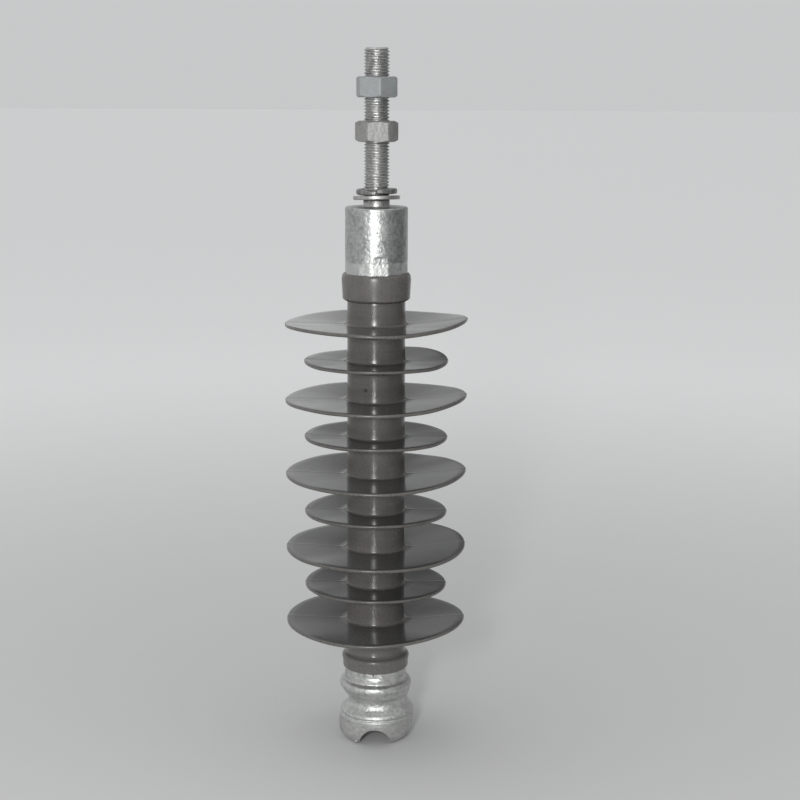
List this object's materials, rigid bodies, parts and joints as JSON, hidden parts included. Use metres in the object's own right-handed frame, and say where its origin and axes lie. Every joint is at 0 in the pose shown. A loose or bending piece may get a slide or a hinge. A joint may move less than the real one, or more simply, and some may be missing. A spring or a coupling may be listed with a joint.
{
  "type": "composite pin insulator",
  "caption": "Composite pin insulator with a shedded silicone housing, crimped metal ends, a grooved tie top and a threaded base stud with nuts and washers.",
  "frame": {"origin": "centre of the base fitting's seat face, on the stud's axis", "axes": "+Z out along the mounting stud, away from the insulator; +Y along the conductor groove; +X across the groove"},
  "size_m": [0.146, 0.146, 0.5612],
  "materials": {
    "silicone_rubber": "glossy moulded",
    "sealant": "matt",
    "glass_fibre_rod": "ground",
    "galvanised_steel": "hot-dip galvanised",
    "plated_steel": "hot-dip galvanised, fine",
    "zinc_nut_steel": "zinc plated",
    "spring_steel": "galvanised, dark"
  },
  "bodies": {
    "insulator": {"mounting_stud": "plated_steel", "base_fitting": "galvanised_steel", "base_seal": "sealant", "core_rod": "glass_fibre_rod", "silicone_housing": "silicone_rubber", "top_seal": "sealant", "tie_top_fitting": "galvanised_steel"},
    "flat_washer": {"flat_washer": "plated_steel"},
    "spring_washer": {"spring_washer": "spring_steel"},
    "lower_nut": {"lower_nut": "plated_steel"},
    "upper_nut": {"upper_nut": "zinc_nut_steel"}
  },
  "joints": [
    {"name": "flat_washer_slide", "type": "slide", "parent": "insulator", "child": "flat_washer", "axis": [0, 0, 1], "range_m": [0, 0.01]},
    {"name": "spring_washer_slide", "type": "slide", "parent": "flat_washer", "child": "spring_washer", "axis": [0, 0, 1], "range_m": [0, 0.006]},
    {"name": "lower_nut_travel", "type": "slide", "parent": "insulator", "child": "lower_nut", "axis": [0, 0, 1], "range_m": [-0.02, 0.0088]},
    {"name": "upper_nut_travel", "type": "slide", "parent": "insulator", "child": "upper_nut", "axis": [0, 0, 1], "range_m": [-0.0088, 0.022]}
  ]
}
